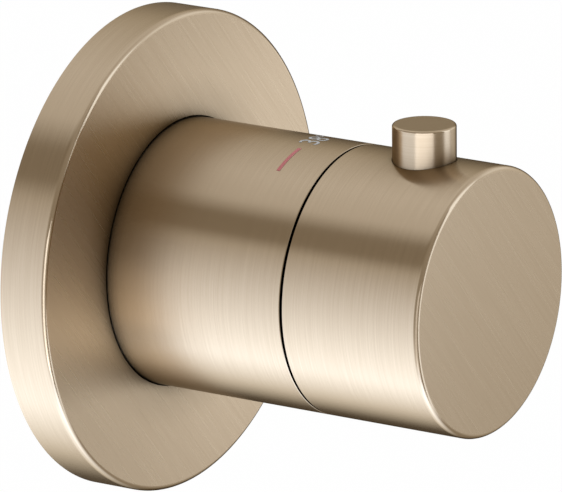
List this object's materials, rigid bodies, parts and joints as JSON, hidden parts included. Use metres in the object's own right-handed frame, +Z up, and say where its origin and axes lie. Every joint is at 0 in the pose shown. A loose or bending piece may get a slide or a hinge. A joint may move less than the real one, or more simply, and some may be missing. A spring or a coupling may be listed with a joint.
{
  "type": "thermostatic mixing valve",
  "caption": "Concealed thermostatic mixing valve with a round rosette, a fixed sleeve, a turning handle and a round safety button on top.",
  "frame": {"origin": "centre of the rosette's rear face, on the finished wall", "axes": "-Y out of the wall towards the user along the handle's axis, +Z up, hot inlet at -X, cold inlet at +X"},
  "size_m": [0.09, 0.0868, 0.09],
  "materials": {
    "brushed_bronze": "fine brushed, clear lacquer",
    "raw_brass": "machined",
    "black_rubber": "smooth",
    "black_plastic": "moulded",
    "white_plastic": "moulded",
    "stainless_steel": "bright"
  },
  "bodies": {
    "valve": {"rosette": "brushed_bronze", "wall_seal": "black_rubber", "collar_seal": "black_rubber", "sleeve": "brushed_bronze", "valve_block": "raw_brass", "sleeve_seal_1": "black_rubber", "sleeve_seal_2": "black_rubber", "hot_port_seal": "black_rubber", "cold_port_seal": "black_rubber", "mixed_port_seal": "black_rubber", "hot_filter": "stainless_steel", "cold_filter": "stainless_steel", "hot_check_housing": "white_plastic", "cold_check_housing": "white_plastic", "hot_check_spring": "stainless_steel", "cold_check_spring": "stainless_steel", "cartridge_cage": "black_plastic", "cage_seal_1": "black_rubber", "cage_seal_2": "black_rubber", "cage_seal_3": "black_rubber", "return_spring": "stainless_steel", "bonnet": "raw_brass", "bonnet_seal": "black_rubber", "union_nut": "raw_brass", "spindle_seal": "black_rubber", "stop_ring": "black_plastic", "rosette_holder": "white_plastic", "holder_seal": "black_rubber", "holder_screw_1": "stainless_steel", "holder_screw_2": "stainless_steel", "holder_screw_3": "stainless_steel"},
    "handle": {"handle": "brushed_bronze", "handle_insert": "white_plastic", "grub_screw": "stainless_steel", "spindle": "raw_brass", "spindle_clip": "stainless_steel", "button_spring": "stainless_steel"},
    "button": {"button": "brushed_bronze", "button_latch": "stainless_steel"},
    "thermostat": {"thrust_nut": "raw_brass", "overload_spring": "stainless_steel", "plunger": "raw_brass", "wax_element": "raw_brass", "shuttle": "black_plastic"},
    "hot_poppet": {"hot_check_poppet": "white_plastic"},
    "cold_poppet": {"cold_check_poppet": "white_plastic"}
  },
  "joints": [
    {"name": "handle_turn", "type": "hinge", "parent": "valve", "child": "handle", "pos_m": [0, -0.0624, 0], "axis": [0, -1, 0], "range_deg": [-150, 60]},
    {"name": "button_press", "type": "slide", "parent": "handle", "child": "button", "axis": [0, 0, -1], "range_m": [0, 0.0025], "stiffness_N_per_m": 600, "springref_m": -0.003, "deforming": ["button_spring"]},
    {"name": "thermostat_slide", "type": "slide", "parent": "valve", "child": "thermostat", "axis": [0, -1, 0], "range_m": [-0.0013, 0.00055], "deforming": ["return_spring"]},
    {"name": "hot_check_slide", "type": "slide", "parent": "valve", "child": "hot_poppet", "axis": [0, -1, 0], "range_m": [0, 0.001], "stiffness_N_per_m": 30, "springref_m": -0.0005, "deforming": ["hot_check_spring"]},
    {"name": "cold_check_slide", "type": "slide", "parent": "valve", "child": "cold_poppet", "axis": [0, -1, 0], "range_m": [0, 0.001], "stiffness_N_per_m": 30, "springref_m": -0.0005, "deforming": ["cold_check_spring"]}
  ],
  "couplings": [
    {"joint": "thermostat_slide", "follows": "handle_turn", "m_per_rad": 0.00047746}
  ]
}
